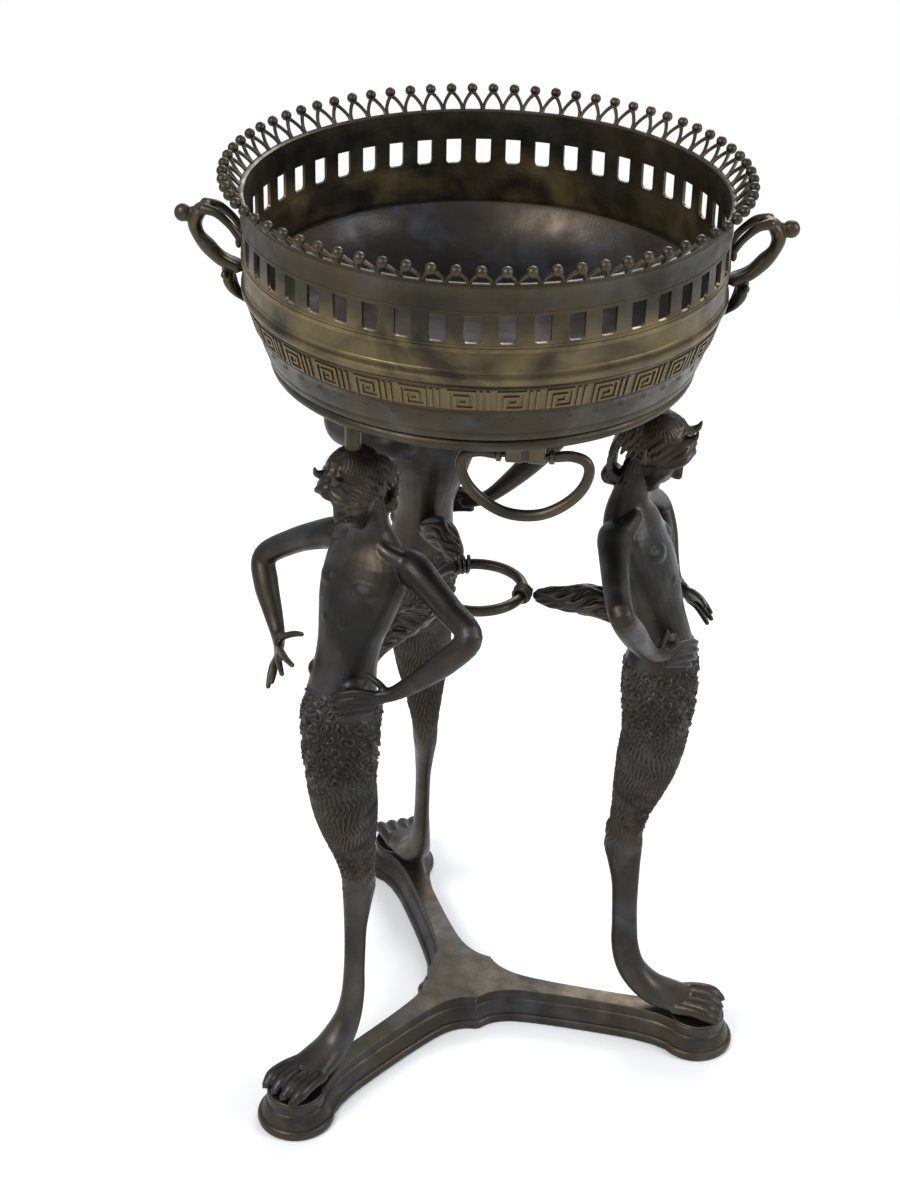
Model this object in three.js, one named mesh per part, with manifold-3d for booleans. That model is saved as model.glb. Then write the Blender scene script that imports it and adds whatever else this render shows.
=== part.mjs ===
// Brazier: a pierced bowl carried by three young satyrs on a three-armed base. Millimetres, +Z up.
// The origin lies on the bowl's axis, on the floor. A figure is built facing +X and then turned into place.
import * as THREE from 'three';
import { mergeVertices } from 'three/addons/utils/BufferGeometryUtils.js';
import Module from 'manifold-3d';

const wasm = await Module();
wasm.setup();

// Driving dimensions
const GAP = 0.3; // clearance between pieces that touch
const BRONZE = 0x3b332b; // patinated bronze
const FIGURE_ANGLES = { left: -131.6, right: -11.6, rear: 108.4 }; // where each satyr stands, degrees
const BASE_HEIGHT = 31; // flat top of the base
const PAD_REACH = 218; // axis to the middle of a foot pad
const PAD_RADIUS = 34; // foot pad at the floor
const PLINTH_RISE = 2; // raised disc on each pad
const RING_RADIUS = 40; // centre line of the ring that the tails hold
const RING_ROD = 4.6; // its rod's radius
const RING_HEIGHT = 448.7;
const COIL_WIRE = 1.65; // tail binding, wire radius
const COIL_TURNS = 3;
const COIL_PITCH = 4.7;
const FLOOR_UNDERSIDE = 661.3; // the bowl's floor plate
const FLOOR_THICKNESS = 3;
const FLOOR_RADIUS = 162;
const SHELL_TOP = 752; // seam between the turned shell and the pierced gallery
const SHELL_INSIDE = 186;
const WALL_RADIUS = 189.5; // outside of the gallery
const WALL_THICKNESS = 2.7;
const GALLERY_TOP = 799;
const WINDOWS = 47;
const WINDOW = { width: 12.4, low: 756, high: 777, corner: 3, phase: 91.4 };
const FINIALS = 72;
const FINIAL = { reach: 20.5, lean: 42, ball: 4.3, bar: 2.7, phase: 89.3 };
const KEYS = 32; // units of the meander frieze
const KEY_RELIEF = 1;
const PAN_RIM = { radius: 182.6, height: 724.5 };
const HANDLE_ANGLES = { left: 180, right: 0 };
const BAIL = { x: 34, y: -143, z: 646, turn: -4, halfWidth: 48.5, drop: 51, rod: 4.2 };

const v3 = (x, y, z) => new THREE.Vector3(x, y, z);
const rad = THREE.MathUtils.degToRad;

// Geometry helpers

// Turns faces outward, whichever way round the rings were listed.
function faceOutward(geometry) {
  const p = geometry.attributes.position;
  const index = geometry.index.array;
  const a = v3(), b = v3(), c = v3();
  let volume = 0;
  for (let i = 0; i < index.length; i += 3) {
    a.fromBufferAttribute(p, index[i]);
    b.fromBufferAttribute(p, index[i + 1]);
    c.fromBufferAttribute(p, index[i + 2]);
    volume += a.dot(b.cross(c));
  }
  if (volume < 0) for (let i = 0; i < index.length; i += 3) {
    [index[i], index[i + 1]] = [index[i + 1], index[i]];
  }
  return geometry;
}

// Skin over rings with equal point counts. Ends are closed flat, or the last ring joins the first.
function loft(rings, closed = false) {
  const n = rings[0].length;
  const points = rings.flat();
  const index = [];
  const spans = closed ? rings.length : rings.length - 1;
  for (let r = 0; r < spans; r++) {
    const s = ((r + 1) % rings.length) * n;
    for (let i = 0; i < n; i++) {
      const j = (i + 1) % n;
      index.push(r * n + i, r * n + j, s + j, r * n + i, s + j, s + i);
    }
  }
  if (!closed) {
    for (const [f, flip] of capFaces(rings[0])) index.push(...(flip ? f.reverse() : f));
    const base = (rings.length - 1) * n;
    for (const [f, flip] of capFaces(rings[rings.length - 1])) {
      const g = f.map((k) => k + base);
      index.push(...(flip ? g : g.reverse()));
    }
  }
  const geometry = new THREE.BufferGeometry().setFromPoints(points);
  geometry.setIndex(index);
  return faceOutward(geometry);
}

// Triangles of a flat ring, with the side that they face.
function capFaces(ring) {
  const middle = ring.reduce((s, p) => s.add(p), v3()).multiplyScalar(1 / ring.length);
  const normal = v3();
  ring.forEach((p, i) => {
    const q = ring[(i + 1) % ring.length];
    normal.add(p.clone().sub(middle).cross(q.clone().sub(middle)));
  });
  normal.normalize();
  const e1 = ring[0].clone().sub(middle).normalize();
  const e2 = normal.clone().cross(e1);
  const flat = ring.map((p) => {
    const d = p.clone().sub(middle);
    return new THREE.Vector2(d.dot(e1), d.dot(e2));
  });
  return THREE.ShapeUtils.triangulateShape(flat, []).map((f) => [[...f], true]);
}

// Round or flattened limb along a smooth path: each point is [x, y, z, radius, flatness].
function limb(points, sides = 8, steps = 3, side = v3(0, 1, 0)) {
  const curve = new THREE.CatmullRomCurve3(points.map((p) => v3(p[0], p[1], p[2])), false, 'centripetal');
  const count = (points.length - 1) * steps;
  const rings = [];
  for (let i = 0; i <= count; i++) {
    const t = i / count;
    const place = curve.getPoint(t);
    const along = curve.getTangent(t);
    const across = side.clone().sub(along.clone().multiplyScalar(side.dot(along))).normalize();
    const up = along.clone().cross(across);
    const k = Math.min(Math.floor(t * (points.length - 1)), points.length - 2);
    const u = t * (points.length - 1) - k;
    const smooth = u * u * (3 - 2 * u);
    const r = THREE.MathUtils.lerp(points[k][3], points[k + 1][3], smooth);
    const w = THREE.MathUtils.lerp(points[k][4] ?? 1, points[k + 1][4] ?? 1, smooth);
    rings.push(ovalRing(place, across.multiplyScalar(r * w), up.multiplyScalar(r), sides));
  }
  return loft(roundEnds(rings));
}

function ovalRing(centre, a, b, sides) {
  return Array.from({ length: sides }, (_, i) => {
    const t = (2 * Math.PI * (i + 0.5)) / sides;
    return centre.clone().addScaledVector(a, Math.cos(t)).addScaledVector(b, Math.sin(t));
  });
}

// Adds a smaller ring beyond each end, so that a limb ends in a dome.
function roundEnds(rings) {
  const dome = (ring, next) => {
    const c = middleOf(ring);
    const r = ring[0].distanceTo(c);
    const out = c.clone().sub(middleOf(next)).normalize().multiplyScalar(r * 0.55);
    return ring.map((p) => p.clone().sub(c).multiplyScalar(0.55).add(c).add(out));
  };
  const n = rings.length;
  return [dome(rings[0], rings[1]), ...rings, dome(rings[n - 1], rings[n - 2])];
}

function middleOf(ring) {
  return ring.reduce((s, p) => s.add(p), v3()).multiplyScalar(1 / ring.length);
}

// Solid of revolution about Z from [radius, height] pairs that close on themselves or end on the axis.
function turned(profile, segments = 48, closed = false) {
  const points = profile.map(([r, z]) => new THREE.Vector2(r, z));
  if (closed) points.push(points[0].clone());
  const g = new THREE.LatheGeometry(points, segments);
  g.rotateX(Math.PI / 2);
  return welded(g);
}

// The same with one facet for each opening of a pattern, and a facet's middle at the pattern's phase.
function faceted(profile, count, phase) {
  return turned(profile, count, true).rotateZ(rad(phase + 90 - 180 / count));
}

function welded(geometry) {
  geometry.deleteAttribute('normal');
  geometry.deleteAttribute('uv');
  return faceOutward(mergeVertices(geometry, 1e-4));
}

function ball(x, y, z, rx, ry = rx, rz = rx, across = 12, down = 8) {
  const g = new THREE.SphereGeometry(1, across, down);
  g.rotateX(Math.PI / 2);
  g.scale(rx, ry, rz);
  g.translate(x, y, z);
  return welded(g);
}

function cylinder(x, y, low, high, radius, sides = 16) {
  const g = new THREE.CylinderGeometry(radius, radius, high - low, sides);
  g.rotateX(Math.PI / 2);
  g.translate(x, y, (low + high) / 2);
  return welded(g);
}

// Solids for joining and cutting
function solid(geometry) {
  const g = mergeVertices(geometry, 1e-4);
  return new wasm.Manifold(new wasm.Mesh({
    numProp: 3,
    vertProperties: new Float32Array(g.attributes.position.array),
    triVerts: new Uint32Array(g.index.array),
  }));
}

function joined(geometries) {
  return geometries.map(solid).reduce((a, b) => a.add(b));
}

function geometryOf(manifold) {
  const mesh = manifold.getMesh();
  const g = new THREE.BufferGeometry();
  g.setAttribute('position', new THREE.BufferAttribute(new Float32Array(mesh.vertProperties), 3));
  g.setIndex([...mesh.triVerts]);
  return g;
}

// Keeps the largest body, so that a sliver left by a cut doesn't become a second one.
function mainBody(manifold) {
  const bodies = manifold.decompose();
  return bodies.reduce((a, b) => (a.volume() > b.volume() ? a : b));
}

const group = new THREE.Group();

function addNode(name, shape, { turn = 0, mirror = false } = {}) {
  const g = shape.getMesh ? geometryOf(mainBody(shape)) : shape.clone();
  if (mirror) g.scale(1, -1, 1);
  g.rotateZ(rad(turn));
  const mesh = new THREE.Mesh(faceOutward(g), new THREE.MeshStandardMaterial({ color: BRONZE }));
  mesh.name = name;
  group.add(mesh);
}

// Base

// Half outline of one arm at the floor: distance along the arm, half width.
const ARM_OUTLINE = [[22.5, 38.9], [33, 28], [50, 21], [78, 18.2], [118, 17.2], [158, 17.6], [182, 20.4]];

function baseOutline() {
  const side = ARM_OUTLINE.map(([s, w]) => v3(s, w, 0));
  const smooth = new THREE.CatmullRomCurve3(side).getPoints(7).slice(1);
  for (let i = 1; i <= 5; i++) {
    const t = rad(146 * (1 - i / 5.5));
    smooth.push(v3(PAD_REACH + PAD_RADIUS * Math.cos(t), PAD_RADIUS * Math.sin(t), 0));
  }
  const mirrored = smooth.map((p) => v3(p.x, -p.y, 0)).reverse();
  const arm = [...smooth, ...mirrored].reverse();
  return Object.values(FIGURE_ANGLES).flatMap((a) => arm.map((p) => p.clone().applyAxisAngle(v3(0, 0, 1), rad(a))));
}

// The outline moved inward by a distance, at a height.
function insetOutline(outline, inset, z) {
  const n = outline.length;
  return outline.map((p, i) => {
    const t = outline[(i + 1) % n].clone().sub(outline[(i + n - 1) % n]).normalize();
    return v3(p.x - t.y * inset, p.y + t.x * inset, z);
  });
}

// Moulding of the base: inset and height, from the floor up.
const BASE_MOULDING = [[1.4, 0], [0, 2.2], [0, 6], [2.4, 9], [5, 14], [8, 21], [8.9, BASE_HEIGHT]];

function makeBase() {
  const outline = baseOutline();
  let body = solid(loft(BASE_MOULDING.map(([inset, z]) => insetOutline(outline, inset, z))));
  for (const a of Object.values(FIGURE_ANGLES)) {
    const turn = v3(0, 0, 1);
    const at = (s) => v3(s, 0, 0).applyAxisAngle(turn, rad(a));
    const pad = at(PAD_REACH);
    const plinth = cylinder(pad.x, pad.y, BASE_HEIGHT - 1, BASE_HEIGHT + PLINTH_RISE, 24.4, 24);
    const recess = cylinder(pad.x, pad.y, -1, 20, 17, 20);
    const bolt = at(PAW_BOLT);
    const hole = cylinder(bolt.x, bolt.y, 15, BASE_HEIGHT + PLINTH_RISE + 1, 3.3, 12);
    const channel = new THREE.BoxGeometry(PAD_REACH - 44, 14, 18);
    channel.translate((PAD_REACH + 44) / 2, 0, 8);
    channel.rotateZ(rad(a));
    body = body.add(solid(plinth)).subtract(solid(recess)).subtract(solid(hole));
    body = body.subtract(solid(welded(channel)));
  }
  addNode('base', body);
}

// Figures

// Body and leg: [height, x of the middle, half depth, half width] from the neck down to the ankle.
const BODY_LEVELS = [
  [570, 127, 14, 14.5], [552, 125, 16.5, 19], [532, 128, 23, 38], [512, 134.5, 28.5, 40], [486, 142.5, 28.6, 34.5],
  [460, 151, 25.8, 27.5], [430, 158.5, 27, 28], [394, 160.5, 30, 31.5], [350, 161.5, 27.8, 28.6], [310, 157, 26, 25.8],
  [276, 151.3, 21.6, 20.5], [243, 144, 15.4, 13.5], [205, 140, 16.8, 10], [184, 142, 14.2, 8], [140, 145, 11.6, 6.3],
  [100, 147.2, 12.4, 7.8]];
// Foot: [x, height of the middle, half height, half width, tilt of the section].
const FOOT_SECTIONS = [[152.5, 77, 13, 11, 22], [162, 62, 13.4, 14, 46], [176, 50.5, 13.2, 16.5, 68], [194, 45, 11.4, 18.5, 84],
  [210, 42.3, 8.6, 19.5, 90]];
const PAW_BOLT = PAD_REACH - 8; // the threaded stud under the paw

function bodyLoft(grow) {
  const rings = BODY_LEVELS.map(([z, x, a, b]) => ovalRing(v3(x, 0, z), v3(a + grow, 0, 0), v3(0, b + grow, 0), 10));
  for (const [x, z, a, b, tilt] of FOOT_SECTIONS) {
    const t = rad(tilt);
    const across = v3(Math.cos(t), 0, Math.sin(t)).multiplyScalar(a + grow);
    rings.push(ovalRing(v3(x, 0, z), across, v3(0, b + grow, 0), 10));
  }
  return loft(rings);
}

// Head in its own frame (face along +X, crown up), then bowed and set on the neck.
const HEAD = { x: 143, z: 601, bow: 25 };

function makeHead() {
  const parts = [
    ball(-2, 0, 6, 27, 22.5, 26, 10, 6), // skull with its hair
    limb([[4, 0, -2, 17, 1.05], [12, 0, -17, 12.5, 1.1], [16.5, 0, -25, 7, 1.2]], 8, 1), // face and chin
    limb([[24, 0, 6, 2.4], [28.6, 0, -9, 3.4]], 4, 1), // nose
    ball(-25, 0, -37, 7.5, 10, 8, 7, 5), // hair gathered at the nape
  ];
  for (const s of [-1, 1]) {
    parts.push(limb([[14, s * 9, 27, 3.6], [13, s * 9.5, 38, 1.2]], 4, 1, v3(1, 0, 0))); // horn
    parts.push(limb([[-3, s * 21.5, -6, 3], [-12, s * 28.5, 6, 1]], 4, 1, v3(1, 0, 0))); // ear
  }
  for (const g of parts) {
    g.rotateY(rad(HEAD.bow));
    g.translate(HEAD.x, 0, HEAD.z);
  }
  parts.push(limb([[125, 0, 556, 14], [131, 0, 577, 14.5], [139, 0, 594, 14]], 8, 1)); // nape
  return joined(parts);
}

const TOE_SIDES = [-15, -5, 5, 15];

function makeBody() {
  const toes = TOE_SIDES.map((y) => limb(
    [[204, y * 0.92, 43, 7.4], [224, y * 1.1, 42.6, 6.6], [237, y * 1.05, 38, 3.6]], 5, 1));
  const tuft = limb([[184, 0, 414, 7, 1.4], [190, 0, 398, 7.5, 1.7], [190.5, 0, 380, 5, 1.6]], 6, 1); // loin tuft
  const sole = new THREE.BoxGeometry(140, 80, 40);
  sole.translate(200, 0, BASE_HEIGHT + PLINTH_RISE + GAP - 20);
  const seat = cylinder(POST.x, 0, POST.seat, 680, POST.radius + GAP, 12);
  const stud = cylinder(PAW_BOLT, 0, 20, 50.3, 3.3, 12);
  return joined([bodyLoft(0), ...toes, tuft]).add(makeHead())
    .subtract(solid(welded(sole))).subtract(solid(seat)).subtract(solid(stud));
}

// Arms: the path with radii from the shoulder to the palm, then each finger's path.
const ARM_ON_HIP = {
  path: [[117, -34, 529, 13], [121, -56, 526, 12.6], [131, -90, 518, 10.8], [140.5, -121, 510.5, 10.4],
    [148, -104, 487, 10.6], [154, -82, 463, 8.6], [161, -63, 445, 6.2], [171, -50, 438, 6.4, 0.62]],
  fingers: [[[174, -47, 441], [190, -22, 437]], [[174, -48, 437], [191, -23, 431]],
    [[173, -49, 433], [190.5, -26, 425.5]], [[171, -50, 430], [187, -31, 420.5]],
    [[165, -57, 444], [161, -47, 456], [159, -36.5, 463]]],
};
const ARM_OPEN_HAND = {
  path: [[117, 34, 529, 13], [121, 56, 526, 12.4], [129, 86, 510, 10.4], [137, 112, 489, 10.2],
    [145, 103, 470, 10], [152, 88, 452, 8], [159, 75, 440, 6], [171, 60, 436, 6.2, 0.65]],
  fingers: [[[176, 54, 439], [186, 38, 444], [192, 22, 446]], [[177, 55, 435], [188, 43, 437], [195, 30, 436]],
    [[177, 57, 432], [188, 49, 429], [195, 43, 424]], [[174, 60, 429], [184, 56, 422], [191, 52, 414]],
    [[165, 65, 442], [166, 50, 452], [166, 37, 456]]],
};
const ARM_RAISED = {
  path: [[117, 34, 529, 13], [133, 52, 527, 12.4], [160, 62, 520, 10.6], [188, 68, 513, 10.2],
    [206, 69, 514, 9.6], [226, 67, 520, 7.6], [242, 65, 525, 6], [256, 64, 527, 6.2, 1.4]],
  fingers: [[[261, 58, 529], [271, 54, 534], [280, 51, 536]], [[263, 62, 528], [274, 60, 532], [284, 59, 532]],
    [[263, 66, 527], [274, 67, 529], [283, 68, 528]], [[261, 70, 526], [270, 73, 526], [278, 75, 524]],
    [[250, 57, 529], [257, 49, 534], [265, 45, 538]]],
};

function makeArm({ path, fingers }) {
  const parts = [limb(path, 8, 1)];
  for (const f of fingers) parts.push(limb(f.map((p, i) => [...p, 3 - 0.5 * i]), 4, 1));
  return joined(parts).subtract(solid(bodyLoft(GAP)));
}

const POST = { x: 146, seat: 629, radius: 6.4 };
const COIL_RADIUS = RING_ROD + 0.45 + COIL_WIRE; // coil's centre line about the rod
const TAIL_END = RING_RADIUS + COIL_RADIUS + COIL_WIRE + 0.5;

function makeTail() {
  const path = [[136, 0, 428, 9], [120, 3, 446, 11.5], [106, 3, 455, 13], [90, 1, 457, 12], [75, 0, 454, 9.6],
    [63, 0, 451, 8.4], [TAIL_END + 4, 0, RING_HEIGHT, 5.6]];
  return solid(limb(path, 8, 1)).subtract(solid(bodyLoft(GAP)));
}

// Winding around the ring's rod, one closed tube from end to end.
function makeCoil() {
  const steps = Math.round(COIL_TURNS * 18);
  const sweep = (COIL_TURNS * COIL_PITCH) / RING_RADIUS;
  const at = (t) => {
    const a = (t - 0.5) * sweep;
    const w = t * COIL_TURNS * 2 * Math.PI;
    const r = RING_RADIUS + COIL_RADIUS * Math.cos(w);
    return v3(r * Math.cos(a), r * Math.sin(a), RING_HEIGHT + COIL_RADIUS * Math.sin(w));
  };
  const centre = (t) => {
    const a = (t - 0.5) * sweep;
    return v3(RING_RADIUS * Math.cos(a), RING_RADIUS * Math.sin(a), RING_HEIGHT);
  };
  const points = Array.from({ length: steps + 1 }, (_, i) => at(i / steps));
  const rings = points.map((p, i) => {
    const along = points[Math.min(i + 1, steps)].clone().sub(points[Math.max(i - 1, 0)]).normalize();
    const out = p.clone().sub(centre(i / steps));
    out.sub(along.clone().multiplyScalar(out.dot(along))).normalize();
    const across = along.clone().cross(out);
    return ovalRing(p, out.multiplyScalar(COIL_WIRE), across.multiplyScalar(COIL_WIRE), 5);
  });
  let least = Infinity;
  for (let i = 0; i <= steps; i++) for (let j = i + 9; j <= steps; j++) {
    least = Math.min(least, points[i].distanceTo(points[j]) - 2 * COIL_WIRE);
  }
  console.log(`tail binding: least gap to itself ${least.toFixed(2)} mm`);
  return loft(rings);
}

function makeFigures() {
  const body = makeBody();
  const onHip = makeArm(ARM_ON_HIP);
  const openHand = makeArm(ARM_OPEN_HAND);
  const raised = makeArm(ARM_RAISED);
  const tail = makeTail();
  const coil = makeCoil();
  for (const [name, turn] of Object.entries(FIGURE_ANGLES)) {
    const place = { turn, mirror: name === 'left' }; // the left satyr mirrors the other two
    addNode(`satyr_${name}`, body, place);
    addNode(`hip_arm_${name}`, onHip, place);
    addNode(`open_arm_${name}`, name === 'rear' ? raised : openHand, place);
    addNode(`tail_${name}`, tail, place);
    addNode(`tail_binding_${name}`, coil, place);
    addNode(`head_post_${name}`, makePost(), { turn });
    addNode(`post_nut_${name}`, hexNut(POST.x, 4, FLOOR_UNDERSIDE + FLOOR_THICKNESS + GAP, 6), { turn });
    addNode(`paw_stud_${name}`, cylinder(PAW_BOLT, 0, 5, 50, 3, 12), { turn });
    addNode(`paw_nut_${name}`, hexNut(PAW_BOLT, 3, 14, 5.4), { turn });
  }
  addNode('tail_ring', turned(circleProfile(RING_RADIUS, RING_HEIGHT, RING_ROD, 8), 32, true));
}

function circleProfile(r, z, radius, sides) {
  return Array.from({ length: sides }, (_, i) => {
    const t = (2 * Math.PI * i) / sides;
    return [r + radius * Math.cos(t), z + radius * Math.sin(t)];
  });
}

// Column from the head to the bowl's floor, with a tenon that the nut holds.
function makePost() {
  const top = FLOOR_UNDERSIDE - GAP;
  const g = turned([[0, POST.seat + GAP], [POST.radius, POST.seat + GAP], [POST.radius, top - 5], [POST.radius + 1.4, top - 3],
    [POST.radius + 1.4, top], [3.8, top], [3.8, top + 13], [0, top + 13]], 10);
  g.translate(POST.x, 0, 0);
  return g;
}

function hexNut(x, hole, low, height) {
  const nut = solid(cylinder(x, 0, low, low + height, hole * 2, 6));
  return nut.subtract(solid(cylinder(x, 0, low - 1, low + height + 1, hole + 0.1, 12)));
}

// Bowl

// Outside of the shell from the foot up: turned lines, drip bead, frieze seat and shoulder.
const SHELL_OUTSIDE = [[170.6, 671], [174.6, 681.5], [180.6, 698.6], [178.4, 699], [184.2, 719], [186.6, 719.4],
  [190.6, 725.2], [190.2, 729], [188.6, 731], [189.4, 735], [189.2, 748], [190, SHELL_TOP]];
const SHELL_INNER = [[SHELL_INSIDE, SHELL_TOP], [SHELL_INSIDE, 722], [178.6, 721.4], [173, 699], [167.6, 671]];

function makeShell() {
  let body = solid(faceted([...SHELL_OUTSIDE, ...SHELL_INNER], KEYS, 0));
  for (const a of Object.values(HANDLE_ANGLES)) {
    body = body.subtract(solid(rivetBody(a, 2.3, 170, 205)));
  }
  addNode('bowl_shell', body);
}

// Row of round dents under the frieze is cut in the look of the surface; the relief itself is modelled here.
function makeFrieze() {
  const outer = (z) => 180.9 + ((z - 699.3) * (184.5 + 2 - 180.9)) / (718.7 - 699.3);
  const band = faceted([[178.9, 699.4], [outer(699.4), 699.4], [outer(718.6), 718.6], [184.4, 718.6]], KEYS, 0);
  const parts = [solid(band)];
  const unit = (2 * Math.PI * outer(709)) / KEYS;
  const key = keyShapes(unit);
  for (let k = 0; k < KEYS; k++) {
    const turn = (2 * Math.PI * k) / KEYS;
    for (const shape of key) {
      const g = new THREE.ExtrudeGeometry(shape, { depth: KEY_RELIEF + 0.8, bevelEnabled: false });
      const p = g.attributes.position;
      for (let i = 0; i < p.count; i++) {
        const z = 709 + p.getY(i);
        const r = outer(z) - 0.8 + p.getZ(i);
        const a = turn + p.getX(i) / outer(709);
        p.setXYZ(i, r * Math.cos(a), r * Math.sin(a), z);
      }
      parts.push(solid(welded(g)));
    }
  }
  addNode('key_frieze', wasm.Manifold.union(parts));
}

// One unit of the meander: a square hook.
function keyShapes(unit) {
  const w = unit * 0.3;
  const h = 7.6;
  const t = 2.2;
  const hook = [[-w, -h], [-w + t, -h], [-w + t, h - t], [w - t, h - t], [w - t, -h], [w, -h], [w, h], [-w, h]];
  return [hook].map((list) => new THREE.Shape(list.map(([x, y]) => new THREE.Vector2(x, y))));
}

function makeFloor() {
  let plate = solid(turned([[0, FLOOR_UNDERSIDE], [FLOOR_RADIUS, FLOOR_UNDERSIDE],
    [FLOOR_RADIUS, FLOOR_UNDERSIDE + FLOOR_THICKNESS], [0, FLOOR_UNDERSIDE + FLOOR_THICKNESS]], KEYS));
  for (const a of Object.values(FIGURE_ANGLES)) {
    const c = v3(POST.x, 0, 0).applyAxisAngle(v3(0, 0, 1), rad(a));
    plate = plate.subtract(solid(cylinder(c.x, c.y, 650, 680, 4.2, 12)));
  }
  addNode('bowl_floor', plate);
  const edge = FLOOR_RADIUS + GAP;
  const lip = FLOOR_RADIUS - 3.4;
  const profile = [[lip, 659.4], [164, 659.2], [167, 660.6], [169, 663.6], [168.4, 667.4], [165.8, 669.2], [168.4, 670.6],
    [edge, 670.6], [edge, FLOOR_UNDERSIDE - GAP], [lip, FLOOR_UNDERSIDE - GAP]];
  addNode('foot_ring', turned(profile, KEYS, true));
}

function makeGallery() {
  const low = SHELL_TOP + GAP;
  const inside = WALL_RADIUS - WALL_THICKNESS;
  const band = faceted([[inside, low], [WALL_RADIUS, low], [WALL_RADIUS, GALLERY_TOP], [inside, GALLERY_TOP]],
    WINDOWS, WINDOW.phase);
  const w = WINDOW.width / 2, c = WINDOW.corner;
  const shape = new THREE.Shape([[-w, WINDOW.high], [-w, WINDOW.low + c], [-w + c, WINDOW.low], [w - c, WINDOW.low],
    [w, WINDOW.low + c], [w, WINDOW.high]]
    .map(([x, y]) => new THREE.Vector2(x, y)));
  const cutter = new THREE.ExtrudeGeometry(shape, { depth: 12, bevelEnabled: false });
  cutter.rotateX(Math.PI / 2);
  cutter.rotateZ(Math.PI / 2);
  cutter.translate(WALL_RADIUS - 8, 0, 0);
  const tool = solid(welded(cutter));
  const tools = Array.from({ length: WINDOWS }, (_, i) => tool.rotate([0, 0, WINDOW.phase + (360 * i) / WINDOWS]));
  addNode('pierced_gallery', solid(band).subtract(wasm.Manifold.union(tools)));
}

// Crown: pointed open arches that lean outward from a thin band, each with a ball on top.
function makeCrown() {
  const low = GALLERY_TOP + GAP;
  const inside = WALL_RADIUS - WALL_THICKNESS;
  const bandTop = low + 2.4;
  const band = faceted([[inside, low], [WALL_RADIUS, low], [WALL_RADIUS + 1.8, bandTop], [inside + 1.8, bandTop]],
    FINIALS, FINIAL.phase);
  const half = (Math.PI * WALL_RADIUS) / FINIALS - 0.6;
  const { reach, bar, ball, lean } = FINIAL;
  const arch = new THREE.Shape([[-half, 0], [-ball * 0.5, reach - ball], [-ball, reach], [0, reach + ball], [ball, reach],
    [ball * 0.5, reach - ball], [half, 0], [half - bar, 0], [0, reach * 0.6], [-half + bar, 0]]
    .map(([x, y]) => new THREE.Vector2(x, y)));
  const plate = new THREE.ExtrudeGeometry(arch, { depth: bar, bevelEnabled: false });
  plate.rotateX(Math.PI / 2);
  plate.rotateZ(Math.PI / 2);
  plate.rotateY(rad(lean));
  plate.translate(WALL_RADIUS - 1, 0, low + 1.4);
  const unit = solid(welded(plate));
  const units = Array.from({ length: FINIALS }, (_, i) => unit.rotate([0, 0, FINIAL.phase + (360 * i) / FINIALS]));
  addNode('finial_crown', wasm.Manifold.union([solid(band), ...units]));
}

// Side handles: a bent figure whose hands and feet reach the wall, over a heart-shaped leaf.
function makeSideHandle(name, angle) {
  const parts = [
    limb([[219, 0, 781, 5.4, 1.6], [226, 0, 769, 5.8, 1.5], [219, 0, 752, 5.4, 1.4], [206, 0, 738, 5.2, 1.35],
      [188, 0, 732.5, 4.6, 1.5]], 6, 1), // back, hips and legs
    limb([[222, 0, 779, 3.6], [232, 0, 776, 3.2]], 6, 1), // neck
    ball(235, 0, 775.6, 7.2, 6.6, 7.4, 8, 6),
    limb([[203, 0, 730, 6, 1.5], [200.5, 0, 721, 6.2, 1.9], [194.5, 0, 711, 3.8, 1.4], [187.6, 0, 703.6, 2, 1]], 6, 1), // leaf
  ];
  for (const s of [-1, 1]) {
    parts.push(limb([[219, s * 7, 781.5, 4.4], [208, s * 8.6, 779, 3.8], [197, s * 10, 769, 3.4], [187, s * 10.4, 759, 3.6]], 6, 1));
  }
  const wall = solid(cylinder(0, 0, 722, 820, WALL_RADIUS + 1.4, 94));
  const low = solid(turned([[0, 690], [179, 694], [191, 724.6], [191, 735], [0, 735]], 94));
  const body = joined(parts).subtract(wall).subtract(low).subtract(solid(rivetBody(0, 2.3, 170, 199)));
  addNode(`side_handle_${name}`, body, { turn: angle });
  addNode(`handle_rivet_${name}`, makeRivet(), { turn: angle });
}

function rivetBody(angle, radius, from, to) {
  const g = new THREE.CylinderGeometry(radius, radius, to - from, 12);
  g.rotateZ(Math.PI / 2);
  g.translate((from + to) / 2, 0, 732.5);
  g.rotateZ(rad(angle));
  return welded(g);
}

// Rivet from inside the wall into the handle's feet.
function makeRivet() {
  const head = new THREE.CylinderGeometry(4, 3.4, 1.6, 12);
  head.rotateZ(Math.PI / 2);
  head.translate(SHELL_INSIDE * Math.cos(Math.PI / KEYS) - GAP - 0.8, 0, 732.5);
  return solid(welded(head)).add(solid(rivetBody(0, 2, SHELL_INSIDE - 1.5, 198.5)));
}

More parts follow.
